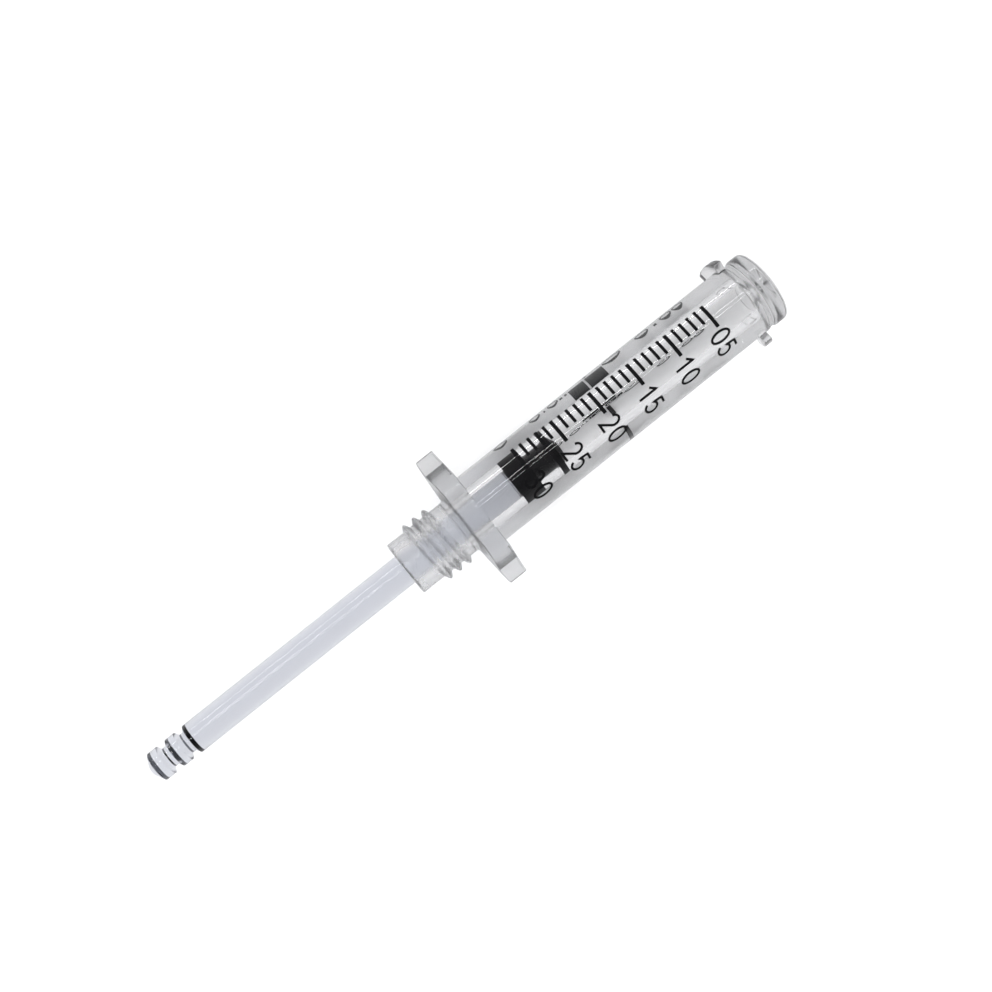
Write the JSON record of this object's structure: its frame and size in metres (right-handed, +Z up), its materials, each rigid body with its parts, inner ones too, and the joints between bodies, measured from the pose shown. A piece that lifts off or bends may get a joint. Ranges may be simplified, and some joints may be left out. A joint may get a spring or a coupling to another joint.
{
  "type": "needle-free injector ampoule",
  "caption": "Small clear graduated ampoule syringe with oval finger flange, threaded neck, bayonet lugs, clear plunger rod and black rubber stopper.",
  "frame": {"origin": "centre of the ampoule's footprint, on the surface that it lies on", "axes": "+X towards the nozzle, +Y towards one wing of the finger flange, +Z up; the syringe's own axis lies in the XZ plane, 2.69 degrees nozzle-down, as it rests on flange and rim"},
  "size_m": [0.0834, 0.016, 0.0123],
  "materials": {
    "clear_plastic": "clear moulded polymer, polished",
    "lavender_plastic": "clear moulded polymer with a faint lavender tint, polished",
    "black_rubber": "smooth siliconed black elastomer"
  },
  "bodies": {
    "barrel": {"ampoule_barrel": "clear_plastic"},
    "plunger": {"plunger_rod": "lavender_plastic", "rubber_stopper": "black_rubber"}
  },
  "joints": [
    {"name": "plunger_slide", "type": "slide", "parent": "barrel", "child": "plunger", "axis": [0.9989, 0, -0.047], "range_m": [-0.0125, 0.0263]}
  ]
}
